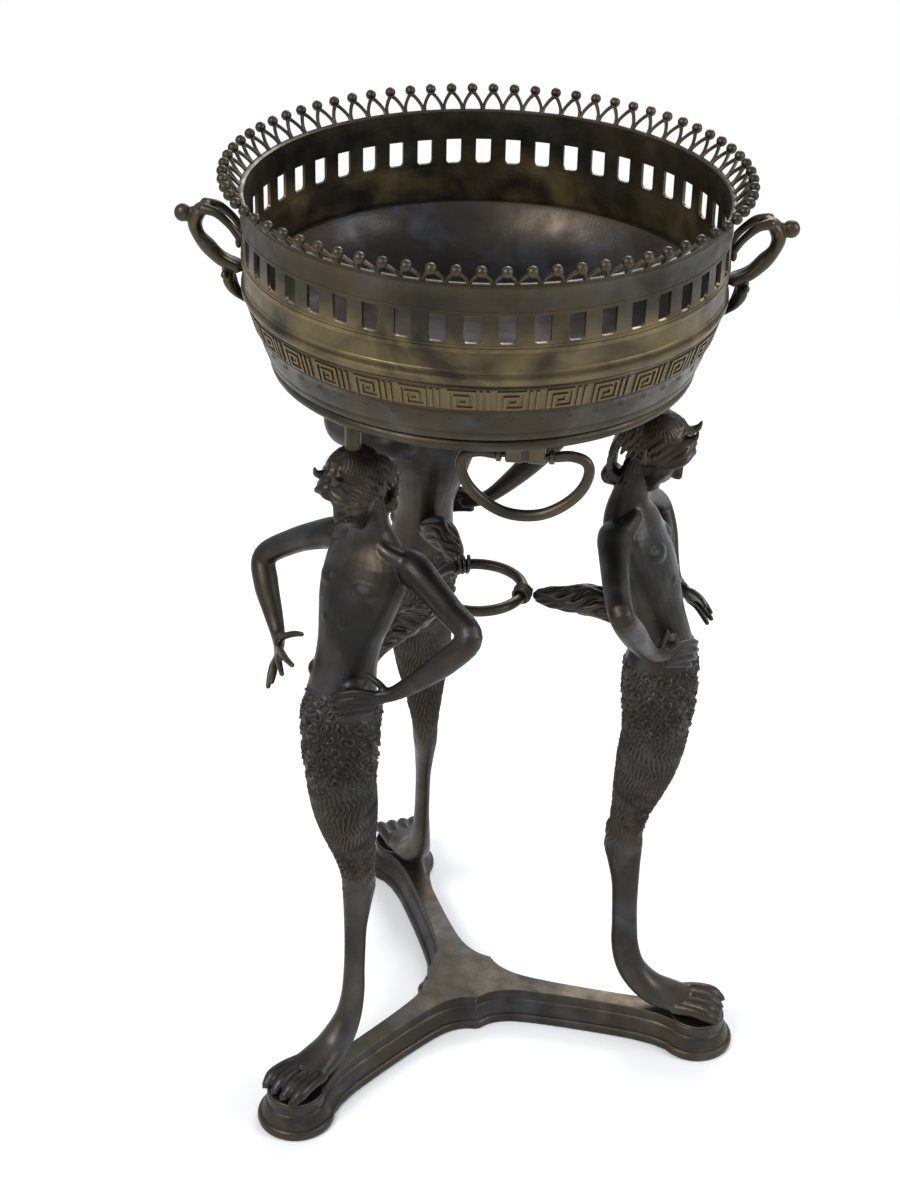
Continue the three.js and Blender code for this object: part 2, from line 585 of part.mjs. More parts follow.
// Drop handle with turned-in ends in a lug under the floor.
function makeDropHandle() {
  const half = BAIL.halfWidth;
  const rim = new THREE.CatmullRomCurve3([v3(-13, 0, 0), v3(-22, 0, 0), v3(-half + 12, 0, 1), v3(-half, 0, -10),
    v3(-half * 0.82, 0, -30), v3(-half * 0.42, 0, -46.5), v3(0, 0, -BAIL.drop)].flatMap((p) => [p]));
  const left = rim.getPoints(16);
  const right = left.slice(0, -1).map((p) => v3(-p.x, 0, p.z)).reverse();
  const path = [...left, ...right].map((p) => [p.x + 0, 0, p.z, BAIL.rod]);
  const rings = path.map((p, i) => {
    const q = path[Math.min(i + 1, path.length - 1)], o = path[Math.max(i - 1, 0)];
    const along = v3(q[0] - o[0], 0, q[2] - o[2]).normalize();
    const up = along.clone().cross(v3(0, 1, 0));
    const pin = Math.abs(p[0]) < 20 && p[2] > -5 ? 2.4 : BAIL.rod;
    return ovalRing(v3(p[0], 0, p[2]), v3(0, pin, 0), up.multiplyScalar(pin), 6);
  });
  const collar = (s) => {
    const g = new THREE.CylinderGeometry(5.6, 5.6, 4, 12);
    g.rotateZ(Math.PI / 2);
    g.translate(s * 20, 0, 0);
    return solid(welded(g));
  };
  const place = (m) => m.rotate([0, 0, BAIL.turn]).translate([BAIL.x, BAIL.y, BAIL.z]);
  addNode('drop_handle', place(solid(loft(rings)).add(collar(-1)).add(collar(1))));
  const block = new THREE.BoxGeometry(30, 12, FLOOR_UNDERSIDE - GAP - BAIL.z + 6);
  block.translate(0, 0, (FLOOR_UNDERSIDE - GAP - BAIL.z - 6) / 2);
  const bore = new THREE.CylinderGeometry(2.9, 2.9, 60, 16);
  bore.rotateZ(Math.PI / 2);
  addNode('handle_lug', place(solid(welded(block)).subtract(solid(welded(bore)))));
}

// Loose pan that holds the embers, resting on the shell's inner ledge.
function makePan() {
  const { radius, height } = PAN_RIM;
  const profile = [[0, 680], [112, 680], [140, 684.5], [162, 696], [173, 712], [176.4, 722.3], [radius, 722.3],
    [radius, height], [176.6, height + 1.2], [173.8, 722.5], [169.8, 712.6], [159.4, 698], [138.8, 687], [112, 682.4], [0, 682.4]];
  addNode('fire_pan', turned(profile, 28));
}

makeBase();
makeFigures();
makeFloor();
makeShell();
makeFrieze();
makeGallery();
makeCrown();
for (const [name, angle] of Object.entries(HANDLE_ANGLES)) makeSideHandle(name, angle);
makeDropHandle();
makePan();

export default group;
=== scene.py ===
import bpy
import bmesh
import math
import numpy as np
from mathutils import Matrix, Vector


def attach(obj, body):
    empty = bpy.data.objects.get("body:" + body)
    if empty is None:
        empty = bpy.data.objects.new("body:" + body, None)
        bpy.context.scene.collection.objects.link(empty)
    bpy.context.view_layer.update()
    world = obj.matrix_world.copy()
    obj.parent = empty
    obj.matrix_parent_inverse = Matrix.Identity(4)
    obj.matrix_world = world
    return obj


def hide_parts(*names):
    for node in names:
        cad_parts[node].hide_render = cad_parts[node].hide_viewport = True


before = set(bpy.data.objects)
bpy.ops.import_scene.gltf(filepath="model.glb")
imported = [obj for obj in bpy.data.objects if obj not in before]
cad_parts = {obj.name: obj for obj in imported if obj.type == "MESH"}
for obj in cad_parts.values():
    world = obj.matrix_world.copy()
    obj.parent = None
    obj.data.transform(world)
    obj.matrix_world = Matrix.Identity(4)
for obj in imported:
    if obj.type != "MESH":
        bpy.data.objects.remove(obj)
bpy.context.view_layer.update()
print("frame loaded")

mm = 0.001
figureAngles = {"left": -131.6, "right": -11.6, "rear": 108.4}  # where each satyr stands, degrees


# Camera and light

def addCamera():
    view = {"place": (0, -1.6788, 1.4169), "focalPixels": 2295.2, "photoHeight": 1200,
            "pitch": 30.31, "yaw": -0.74, "roll": 1.30}
    pitch, yaw, roll = (math.radians(view[k]) for k in ("pitch", "yaw", "roll"))
    ahead = Vector((math.sin(yaw) * math.cos(pitch), math.cos(yaw) * math.cos(pitch), -math.sin(pitch)))
    level = Vector((math.cos(yaw), -math.sin(yaw), 0))
    upright = level.cross(ahead)
    right = math.cos(roll) * level + math.sin(roll) * upright
    up = -math.sin(roll) * level + math.cos(roll) * upright
    data = bpy.data.cameras.new("camera")
    data.sensor_fit = "VERTICAL"
    data.sensor_height = 24
    data.lens = view["focalPixels"] * data.sensor_height / view["photoHeight"]
    cam = bpy.data.objects.new("camera", data)
    cam.matrix_world = Matrix.Translation(view["place"]) @ Matrix((right, up, -ahead)).transposed().to_4x4()
    bpy.context.scene.collection.objects.link(cam)
    bpy.context.scene.camera = cam


def addLight(name, place, aim, size, watts, colour):
    data = bpy.data.lights.new(name, "AREA")
    data.size = size
    data.energy = watts
    data.color = colour
    lamp = bpy.data.objects.new(name, data)
    lamp.location = place
    lamp.rotation_euler = (Vector(aim) - Vector(place)).to_track_quat("-Z", "Y").to_euler()
    bpy.context.scene.collection.objects.link(lamp)


studio = {"aim": (0, 0, 0.45), "floorSize": 60, "fadeNear": 0.75, "fadeFar": 1.9}


def addStudio():
    bpy.context.scene.view_settings.view_transform = "Standard"
    addLight("keyLight", (-1.5, -1.5, 2.4), studio["aim"], 1.2, 50, (1, 0.98, 0.95))
    addLight("sideLight", (2.2, -0.6, 1.6), studio["aim"], 1.0, 30, (0.93, 0.96, 1))
    addLight("rearLight", (0.6, 2.2, 1.9), (0, 0, 0.5), 1.2, 34, (1, 1, 1))
    world = bpy.data.worlds.new("studio")
    bpy.context.scene.world = world
    world.use_nodes = True
    nodes, links = world.node_tree.nodes, world.node_tree.links
    nodes.clear()
    rays = nodes.new("ShaderNodeLightPath")
    around = nodes.new("ShaderNodeBackground")
    around.inputs["Color"].default_value = (0.62, 0.66, 0.72, 1)
    around.inputs["Strength"].default_value = 0.95
    seen = nodes.new("ShaderNodeBackground")
    seen.inputs["Color"].default_value = (1, 1, 1, 1)
    mix = nodes.new("ShaderNodeMixShader")
    out = nodes.new("ShaderNodeOutputWorld")
    links.new(rays.outputs["Is Camera Ray"], mix.inputs["Fac"])
    links.new(around.outputs["Background"], mix.inputs[1])
    links.new(seen.outputs["Background"], mix.inputs[2])
    links.new(mix.outputs["Shader"], out.inputs["Surface"])
    bpy.ops.mesh.primitive_plane_add(size=studio["floorSize"], location=(0, 0, 0))
    floor = bpy.context.object
    floor.name = "floor"
    paint = bpy.data.materials.new("floorPaint")
    paint.use_nodes = True
    shader = paint.node_tree.nodes["Principled BSDF"]
    shader.inputs["Base Color"].default_value = (0.93, 0.93, 0.92, 1)
    shader.inputs["Roughness"].default_value = 0.75
    fadeOut(paint, studio["fadeNear"], studio["fadeFar"])
    floor.data.materials.append(paint)


# The floor turns white with distance, for camera rays only
def fadeOut(paint, near, far):
    nodes, links = paint.node_tree.nodes, paint.node_tree.links
    place = nodes.new("ShaderNodeNewGeometry")
    distance = nodes.new("ShaderNodeVectorMath")
    distance.operation = "LENGTH"
    fade = nodes.new("ShaderNodeMapRange")
    fade.inputs["From Min"].default_value = near
    fade.inputs["From Max"].default_value = far
    rays = nodes.new("ShaderNodeLightPath")
    seen = nodes.new("ShaderNodeMath")
    seen.operation = "MULTIPLY"
    glow = nodes.new("ShaderNodeEmission")
    glow.inputs["Color"].default_value = (1, 1, 1, 1)
    mix = nodes.new("ShaderNodeMixShader")
    links.new(place.outputs["Position"], distance.inputs[0])
    links.new(distance.outputs["Value"], fade.inputs["Value"])
    links.new(fade.outputs["Result"], seen.inputs[0])
    links.new(rays.outputs["Is Camera Ray"], seen.inputs[1])
    links.new(seen.outputs["Value"], mix.inputs["Fac"])
    links.new(nodes["Principled BSDF"].outputs["BSDF"], mix.inputs[1])
    links.new(glow.outputs["Emission"], mix.inputs[2])
    links.new(mix.outputs["Shader"], nodes["Material Output"].inputs["Surface"])


# Materials

brass = (0.27, 0.2, 0.09)
rough = (0.32, 0.58)
texture = {  # noise scale, detail and distortion
    "cloud": (9, 6, 0.6), "paintedSheen": (26, 6, 0.3), "patches": (13, 7, 0.9), "spots": (17, 8, 0.8),
    "gloss": (55, 6), "grain": (420, 4), "pits": (120, 5)}


# Bronze patina with a painted sheen mixed in, and brass rubbed through on edges
def patina(name, dark, warm, sheenColour, rubAmount, bumpSize=0.25, rubZone=None):
    m = bpy.data.materials.new(name)
    m.use_nodes = True
    nodes, links = m.node_tree.nodes, m.node_tree.links
    shader = nodes["Principled BSDF"]
    coords = nodes.new("ShaderNodeTexCoord")

    def noise(scale, detail=5, distortion=0.0):
        n = nodes.new("ShaderNodeTexNoise")
        n.inputs["Scale"].default_value = scale
        n.inputs["Detail"].default_value = detail
        n.inputs["Distortion"].default_value = distortion
        links.new(coords.outputs["Object"], n.inputs["Vector"])
        return n.outputs["Fac"]

    def ramp(value, low, high):
        r = nodes.new("ShaderNodeMapRange")
        r.inputs["From Min"].default_value = low
        r.inputs["From Max"].default_value = high
        links.new(value, r.inputs["Value"])
        return r.outputs["Result"]

    def mixColour(factor, a, b):
        x = nodes.new("ShaderNodeMix")
        x.data_type = "RGBA"
        links.new(factor, x.inputs["Factor"])
        for socket, colour in ((x.inputs["A"], a), (x.inputs["B"], b)):
            if isinstance(colour, tuple):
                socket.default_value = (*colour, 1)
            else:
                links.new(colour, socket)
        return x.outputs["Result"]

    def mathNode(kind, a, b):
        x = nodes.new("ShaderNodeMath")
        x.operation = kind
        x.use_clamp = True
        for i, v in enumerate((a, b)):
            if isinstance(v, float):
                x.inputs[i].default_value = v
            else:
                links.new(v, x.inputs[i])
        return x.outputs["Value"]

    shape = nodes.new("ShaderNodeNewGeometry")
    ridge = ramp(shape.outputs["Pointiness"], 0.52, 0.62)
    hollow = ramp(shape.outputs["Pointiness"], 0.49, 0.42)
    cloud = ramp(noise(*texture["cloud"]), 0.35, 0.66)
    # Patches where the painted sheen shows
    paintedSheen = ramp(noise(*texture["paintedSheen"]), 0.5, 0.72)
    patches = ramp(noise(*texture["patches"]), 0.56, 0.72)
    grain = noise(*texture["grain"])
    worn = mathNode("MULTIPLY", mathNode("ADD", ridge, mathNode("MULTIPLY", patches, 0.45)), rubAmount)
    if rubZone:  # heights between which the brass shows through
        heights = nodes.new("ShaderNodeSeparateXYZ")
        links.new(coords.outputs["Object"], heights.inputs["Vector"])
        inZone = mathNode("MULTIPLY", ramp(heights.outputs["Z"], rubZone[0], rubZone[0] + 0.012),
                          ramp(heights.outputs["Z"], rubZone[1], rubZone[1] - 0.02))
        spots = ramp(noise(*texture["spots"]), 0.42, 0.66)
        worn = mathNode("ADD", worn, mathNode("MULTIPLY", mathNode("MULTIPLY", inZone, spots), 0.62))
    tone = mixColour(cloud, dark, warm)
    # Painted sheen: grey patches mixed into the patina colour
    tone = mixColour(mathNode("MULTIPLY", paintedSheen, 0.55), tone, sheenColour)
    tone = mixColour(worn, tone, brass)
    tone = mixColour(mathNode("MULTIPLY", hollow, 0.8), tone, tuple(c * 0.45 for c in warm))
    links.new(tone, shader.inputs["Base Color"])
    shader.inputs["Metallic"].default_value = 0.86
    gloss = ramp(noise(*texture["gloss"]), 0.3, 0.75)
    r = nodes.new("ShaderNodeMapRange")
    r.inputs["To Min"].default_value = rough[0]
    r.inputs["To Max"].default_value = rough[1]
    links.new(gloss, r.inputs["Value"])
    links.new(r.outputs["Result"], shader.inputs["Roughness"])
    bump = nodes.new("ShaderNodeBump")
    bump.inputs["Strength"].default_value = bumpSize
    bump.inputs["Distance"].default_value = 0.0006
    pits = noise(*texture["pits"])
    relief = mathNode("ADD", mathNode("MULTIPLY", grain, 0.5), mathNode("MULTIPLY", pits, 0.5))
    links.new(relief, bump.inputs["Height"])
    links.new(bump.outputs["Normal"], shader.inputs["Normal"])
    return m


finishes = {  # dark and warm colours, the colour of the painted sheen, then how much brass shows on edges
    "figure_bronze": patina("figurePatina", (0.022, 0.021, 0.02), (0.05, 0.038, 0.027),
                            (0.075, 0.082, 0.088), 0.2),
    "base_bronze": patina("basePatina", (0.024, 0.023, 0.021), (0.052, 0.041, 0.028),
                          (0.08, 0.085, 0.09), 0.2),
    "bowl_bronze": patina("bowlPatina", (0.026, 0.024, 0.019), (0.064, 0.049, 0.028),
                          (0.075, 0.078, 0.07), 0.13, rubZone=(0.716, 0.772)),
    "frieze_bronze": patina("friezePatina", (0.034, 0.028, 0.02), (0.085, 0.064, 0.034),
                            (0.08, 0.08, 0.07), 0.3),
    "pan_bronze": patina("panPatina", (0.028, 0.024, 0.021), (0.06, 0.046, 0.034),
                         (0.08, 0.09, 0.105), 0.06, 0.4),
    "fitting_bronze": patina("fittingPatina", (0.03, 0.026, 0.02), (0.075, 0.057, 0.033),
                             (0.07, 0.072, 0.07), 0.28),
    "fasteners": patina("fastenerPatina", (0.03, 0.028, 0.026), (0.05, 0.042, 0.034),
                        (0.07, 0.07, 0.07), 0.1),
}
print("materials made")


# Mesh helpers: a shape is (points, faces), in millimetres

def together(shapes):
    points, faces = [], []
    for p, f in shapes:
        start = len(points)
        points += [tuple(q) for q in p]
        faces += [tuple(i + start for i in g) for g in f]
    return points, faces


# A profile of (radius, height) turned about Z; it closes on itself unless it starts on the axis
def turnedShape(profile, segments=192, turn=0.0):
    n = len(profile)
    closed = profile[0][0] > 0
    points, faces = [], []
    for s in range(segments):
        a = 2 * math.pi * s / segments + turn
        points += [(r * math.cos(a), r * math.sin(a), z) for r, z in profile]
    last = n if closed else n - 1
    for s in range(segments):
        t = (s + 1) % segments
        faces += [(s * n + i, t * n + i, t * n + (i + 1) % n, s * n + (i + 1) % n) for i in range(last)]
    return points, faces


def smoothed(control, steps):
    c = np.array(control, float)
    c = np.vstack([2 * c[0] - c[1], c, 2 * c[-1] - c[-2]])
    out = []
    for i in range(1, len(c) - 2):
        for k in range(steps):
            t = k / steps
            a, b, d, e = c[i - 1], c[i], c[i + 1], c[i + 2]
            square = 2 * a - 5 * b + 4 * d - e
            cube = 3 * b - a - 3 * d + e
            out.append(0.5 * (2 * b + (d - a) * t + square * t * t + cube * t ** 3))
    out.append(c[-2])
    return np.array(out)


# A tube through rows of (x, y, z, radius), or (x, y, z, radius, width factor), with domed ends
def tubeShape(control, sides=14, steps=6, side=(0, 1, 0)):
    rows = smoothed([tuple(p) + ((1,) if len(p) == 4 else ()) for p in control], steps)
    centres, radii, flat = rows[:, :3], rows[:, 3], rows[:, 4]
    along = np.gradient(centres, axis=0)
    along /= np.linalg.norm(along, axis=1)[:, None]
    rings = []
    for c, r, w, t in zip(centres, radii, flat, along):
        across = np.array(side, float) - t * np.dot(side, t)
        across /= np.linalg.norm(across)
        up = np.cross(t, across)
        rings.append((c, across * r * w, up * r, t, r))
    ends = []
    for k, s in ((0, -1), (-1, 1)):
        c, a, b, t, r = rings[k]
        dome = [(c + t * s * r * math.sin(e), a * math.cos(e), b * math.cos(e)) for e in (0.45, 0.9, 1.3)]
        ends.append(dome[::-1] if k == 0 else dome)
    full = ends[0] + [(c, a, b) for c, a, b, t, r in rings] + ends[1]
    turns = [2 * math.pi * (i + 0.5) / sides for i in range(sides)]
    points = [tuple(c + a * math.cos(u) + b * math.sin(u)) for c, a, b in full for u in turns]
    faces = []
    for k in range(len(full) - 1):
        for i in range(sides):
            j = (i + 1) % sides
            faces.append((k * sides + i, k * sides + j, (k + 1) * sides + j, (k + 1) * sides + i))
    faces += [tuple(range(sides))[::-1], tuple((len(full) - 1) * sides + i for i in range(sides))]
    return points, faces


def ballShape(centre, radii, across=20, down=12):
    points, faces = [], []
    for j in range(1, down):
        b = math.pi * j / down
        for i in range(across):
            a = 2 * math.pi * i / across
            points.append((centre[0] + radii[0] * math.sin(b) * math.cos(a),
                           centre[1] + radii[1] * math.sin(b) * math.sin(a),
                           centre[2] + radii[2] * math.cos(b)))
    for j in range(down - 2):
        for i in range(across):
            k = (i + 1) % across
            faces.append((j * across + i, (j + 1) * across + i, (j + 1) * across + k, j * across + k))
    faces += [tuple(range(across)), tuple((down - 2) * across + i for i in reversed(range(across)))]
    return points, faces


def moved(shape, matrix):
    return [tuple(matrix @ Vector(p)) for p in shape[0]], shape[1]


def turnedBy(angle):
    return Matrix.Rotation(math.radians(angle), 4, "Z")


def makePiece(name, shape, slot, nodes, body="brazier", sharp=38):
    mesh = bpy.data.meshes.new(name)
    mesh.from_pydata([tuple(c * mm for c in p) for p in shape[0]], [], shape[1])
    work = bmesh.new()
    work.from_mesh(mesh)
    bmesh.ops.remove_doubles(work, verts=work.verts, dist=2e-6)
    bmesh.ops.recalc_face_normals(work, faces=work.faces)
    work.to_mesh(mesh)
    work.free()
    mesh.shade_smooth()
    mesh.set_sharp_from_angle(angle=math.radians(sharp))
    piece = bpy.data.objects.new(name, mesh)
    bpy.context.scene.collection.objects.link(piece)
    mesh.materials.append(finishes[slot])
    if nodes:
        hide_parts(*nodes)
    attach(piece, body)
    return piece


# Bowl

bowl = {"wall": 189.5, "thickness": 2.7, "galleryTop": 799}
punch = {"count": 51, "reach": 177.9, "height": 692, "radius": 2.2, "line": 0.55, "slope": 0.32,
         "around": 16, "across": 6}


# The raised line of one ring punch on the shell's lower wall
def punchShape():
    points, faces = [], []
    around, across = punch["around"], punch["across"]
    for i in range(around):
        u = 2 * math.pi * i / around
        for j in range(across):
            v = 2 * math.pi * j / across
            r = punch["radius"] + punch["line"] * math.cos(v)
            height = r * math.sin(u)
            reach = punch["reach"] + height * punch["slope"] + 0.5 * math.sin(v)
            points.append((reach, r * math.cos(u), punch["height"] + height))
    for i in range(around):
        for j in range(across):
            p, q = (i + 1) % around, (j + 1) % across
            faces.append((i * across + j, p * across + j, p * across + q, i * across + q))
    return points, faces


def makeBowlShell():
    outside = [
        (170.6, 671), (171.2, 673.2), (172.6, 676.4), (172.4, 677.2), (174.6, 681.5), (178.2, 692.6),
        (180.4, 698), (181.3, 698.6), (181.3, 700), (180.7, 700.4), (185.9, 718), (186.7, 718.3),
        (186.7, 719.6), (186.3, 720.2), (188.2, 722), (189.6, 723.2), (190.5, 725.2), (190.4, 727.4),
        (189.3, 728.4), (188.5, 729), (188.7, 731.4), (189.4, 732.2), (189.4, 733.6), (188.8, 734.4),
        (189.1, 748), (189.9, 748.8), (190.1, 750), (189.9, 752)]
    inside = [(186, 752), (186, 722), (178.6, 721.4), (173, 699), (167.6, 671)]
    dots = []
    for k in range(punch["count"]):  # each ring punch with a dot in its middle
        turn = turnedBy(-90 + 360 * k / punch["count"])
        dots.append(moved(punchShape(), turn))
        dots.append(moved(ballShape((177.7, 0, punch["height"]), (0.8, 1.0, 1.0), 10, 6), turn))
    makePiece("bowlShell", together([turnedShape(outside + inside)] + dots), "bowl_bronze", ["bowl_shell"])
    foot = [(158.6, 659.4), (164, 659.2), (166, 659.8), (168, 661.4), (169, 663.6), (168.9, 665.6),
            (167.8, 667.6), (165.9, 669), (166.4, 669.6), (168.2, 669.9), (168.4, 670.6), (162.4, 670.6),
            (162.4, 661), (158.6, 661)]
    makePiece("footRing", turnedShape(foot), "bowl_bronze", ["foot_ring"])
    floorPlate = [(0, 661.3), (162, 661.3), (162, 664.3), (0, 664.3)]
    makePiece("bowlFloor", turnedShape(floorPlate, 128), "bowl_bronze", ["bowl_floor"])


frieze = {"keys": 32, "phase": -92.5, "reach": 184, "middle": 709, "half": 7.4, "line": 2.3,
          "height": 1.1, "sunk": 0.6, "chamfer": 0.25, "slope": 0.292}


# One straight bar of a key, bent round the bowl about the direction given by turn
def keyBar(start, end, turn):
    w = frieze["line"] / 2
    (u0, v0), (u1, v1) = start, end
    u0, u1, v0, v1 = min(u0, u1) - w, max(u0, u1) + w, min(v0, v1) - w, max(v0, v1) + w
    edge, top, root = frieze["chamfer"], frieze["height"], -frieze["sunk"]
    n = max(1, round((u1 - u0) / 3))
    points, faces = [], []
    for i in range(n + 1):
        a = turn + (u0 + (u1 - u0) * i / n) / frieze["reach"]
        for v, lift in ((v0, root), (v0 + edge, top), (v1 - edge, top), (v1, root)):
            z = frieze["middle"] + v
            r = 181.1 + (z - 700) * frieze["slope"] + lift
            points.append((r * math.cos(a), r * math.sin(a), z))
    for i in range(n):
        for j in range(4):
            q = (j + 1) % 4
            faces.append((i * 4 + j, (i + 1) * 4 + j, (i + 1) * 4 + q, i * 4 + q))
    faces += [(0, 1, 2, 3), tuple(n * 4 + j for j in (3, 2, 1, 0))]
    return points, faces


def makeKeyFrieze():
    h = frieze["half"]
    hook = [(-15.5, -h), (-15.5, h), (3, h), (3, -h), (-11, -h), (-11, h - 4.6), (-2, h - 4.6),
            (-2, -h + 4.6), (-6.6, -h + 4.6)]
    bars = [[(7.6, -h), (7.6, h)], [(12.6, -h), (12.6, h)]]
    blocks = []
    for k in range(frieze["keys"]):
        turn = math.radians(frieze["phase"]) + 2 * math.pi * k / frieze["keys"]
        for line in [hook] + bars:
            blocks += [keyBar(start, end, turn) for start, end in zip(line, line[1:])]
    band = turnedShape([(178.9, 699.6), (181.1, 699.9), (186.2, 718.2), (184.6, 718.5)])
    makePiece("keyFrieze", together([band] + blocks), "frieze_bronze", ["key_frieze"], sharp=30)


gallery = {"low": 752.3, "windows": 47, "phase": 91.4, "windowWidth": 12.6, "windowLow": 755.9,
           "windowHigh": 776.9, "corner": 2.8, "lines": (754, 779.2, 797.6)}


def makeGallery():
    reach, inner = bowl["wall"], bowl["wall"] - bowl["thickness"]
    half = math.pi * reach / gallery["windows"]
    w, corner = gallery["windowWidth"] / 2, gallery["corner"]
    low, high = gallery["windowLow"], gallery["windowHigh"]
    n = 8  # points along each side of a window

    def edge(x0, x1, z0, z1):
        a = [(x0 + (x1 - x0) * i / n, z0) for i in range(n)]
        b = [(x1, z0 + (z1 - z0) * i / n) for i in range(n)]
        c = [(x1 + (x0 - x1) * i / n, z1) for i in range(n)]
        d = [(x0, z1 + (z0 - z1) * i / n) for i in range(n)]
        return a + b + c + d

    def rounded(point):
        x, z = point
        if z < low + corner and abs(x) > w - corner:
            cx, cz = math.copysign(w - corner, x), low + corner
            d = math.hypot(x - cx, z - cz)
            return cx + (x - cx) * corner / d, cz + (z - cz) * corner / d
        return point

    hole = [rounded(p) for p in edge(-w, w, low, high)]
    sector = edge(-half, half, gallery["low"], bowl["galleryTop"])
    count = len(hole)
    loops = []
    for t in (0, 0.4, 0.8, 0.94, 1):
        loops.append([(p[0] + (q[0] - p[0]) * t, p[1] + (q[1] - p[1]) * t) for p, q in zip(sector, hole)])
    last = (len(loops) - 1) * count
    inside = len(loops) * count
    shapes = []
    for k in range(gallery["windows"]):
        middle = math.radians(gallery["phase"] + 360 * k / gallery["windows"])
        points = []
        for r in (reach, inner):
            for x, z in (p for loop in loops for p in loop):
                a = middle + x / reach
                points.append((r * math.cos(a), r * math.sin(a), z))
        faces = []
        for i in range(count):
            j = (i + 1) % count
            for row in range(len(loops) - 1):
                a, b = row * count, (row + 1) * count
                faces.append((a + i, a + j, b + j, b + i))
                faces.append((inside + a + j, inside + a + i, inside + b + i, inside + b + j))
            faces.append((last + i, last + j, inside + last + j, inside + last + i))
            if i < n or 2 * n <= i < 3 * n:
                faces.append((j, i, inside + i, inside + j))
        shapes.append((points, faces))
    lines = [turnedShape([(reach - 0.4, z - 0.5), (reach + 0.35, z - 0.3), (reach + 0.35, z + 0.3),
                          (reach - 0.4, z + 0.5)]) for z in gallery["lines"]]
    makePiece("piercedGallery", together(shapes + lines), "bowl_bronze", ["pierced_gallery"])


crown = {"finials": 72, "phase": 89.3, "lean": 42, "gap": 0.3}


# Each finial is a pointed arch that leans outward, with a ball on its tip
def makeCrown():
    low, reach = bowl["galleryTop"] + crown["gap"], bowl["wall"]
    lean = math.radians(crown["lean"])
    pitch = 2 * math.pi * reach / crown["finials"]

    def place(u, v):
        return reach - 0.6 + v * math.sin(lean), u, low + 1.2 + v * math.cos(lean)

    band = turnedShape([(reach - 2.7, low), (reach + 0.2, low), (reach + 1.6, low + 1.4),
                        (reach + 1.4, low + 2.5), (reach - 1, low + 2.6), (reach - 2.7, low + 1.4)], 216)
    parts = []
    for s in (-1, 1):
        path = [(*place(s * (pitch / 2 - 0.6), 0), 1.5), (*place(s * pitch * 0.43, 6), 1.45),
                (*place(s * pitch * 0.25, 12.5), 1.5), (*place(s * 0.4, 17.6), 1.7)]
        parts.append(tubeShape(path, 8, 3))
    parts.append(ballShape(place(0, 20.4), (4.3, 4.3, 4.3), 16, 10))
    parts.append(ballShape(place(0, 16.6), (2.2, 2.4, 1.5), 12, 8))
    unit = together(parts)
    units = [moved(unit, turnedBy(crown["phase"] + 360 * k / crown["finials"]))
             for k in range(crown["finials"])]
    makePiece("finialCrown", together([band] + units), "bowl_bronze", ["finial_crown"])


def makePan():
    curve = [(0, 682.4), (112, 682.4), (128, 684.4), (142, 688.6), (154, 695), (163, 703.4),
             (169.6, 713), (173.8, 722.5), (176.6, 725.4), (179.6, 725.8), (182.4, 724.6),
             (182.6, 722.3), (176.4, 722.3), (172.4, 712.6), (165.4, 701.6), (156, 692.6),
             (143, 685.9), (128.6, 681.6), (112, 680), (0, 680)]
    makePiece("firePan", turnedShape(curve), "pan_bronze", ["fire_pan"], body="fire_pan")


makeBowlShell()
makeKeyFrieze()
makeGallery()
makeCrown()
makePan()
print("bowl made")


# Figures, each in its own frame: x outward, y to the figure's left

figure = {
    "levels": [  # height, distance outward, half depth, half width
        (570, 127, 13, 14), (556, 125.5, 15, 16), (545, 125, 18, 24), (532, 128, 23, 37),
        (512, 134, 27, 39), (498, 138.6, 28, 36.5), (484, 142.5, 27.4, 33), (466, 148.4, 25.4, 28),
        (450, 153, 24.6, 26.4), (430, 157.6, 26.4, 27.6), (410, 160.4, 28.8, 30.6),
        (388, 160.8, 30.4, 31.6), (364, 161, 29.8, 29.8), (336, 160.6, 27.2, 28),
        (310, 157.4, 26.2, 26.2), (288, 153.8, 24, 23.4), (266, 149.3, 20, 18.6),
        (246, 144.8, 16, 14.2), (226, 141.4, 14.8, 11), (206, 139.8, 16.9, 10), (186, 141.8, 14.6, 8.4),
        (164, 144, 12.2, 6.8), (140, 145, 11.6, 6.4), (116, 146.3, 11.8, 6.8), (98, 147.6, 12.6, 8)],
    "foot": [  # distance outward, height, half depth, half width, tilt
        (152.5, 77, 13, 10.5, 22), (162, 62, 13.4, 13.5, 46), (176, 50.5, 13.2, 16, 68),
        (194, 45.4, 11.6, 18, 84), (210, 42.6, 8.4, 19, 90)],
    "headPlace": (143, 0, 600), "headBow": 36, "voxel": 1.1, "ease": 5, "sole": 33.3,
}


def loftShape(rings):
    n = len(rings[0])
    points = [tuple(p) for ring in rings for p in ring]
    faces = []
    for k in range(len(rings) - 1):
        for i in range(n):
            j = (i + 1) % n
            faces.append((k * n + i, k * n + j, (k + 1) * n + j, (k + 1) * n + i))
    faces += [tuple(range(n)), tuple(len(points) - 1 - i for i in range(n))]
    return points, faces


def ovalRing(x, z, a, b, tilt=0.0, sides=28):
    turns = [2 * math.pi * i / sides for i in range(sides)]
    c, s = math.cos(math.radians(tilt)), math.sin(math.radians(tilt))
    return [(x + a * math.cos(u) * c, b * math.sin(u), z + a * math.cos(u) * s) for u in turns]


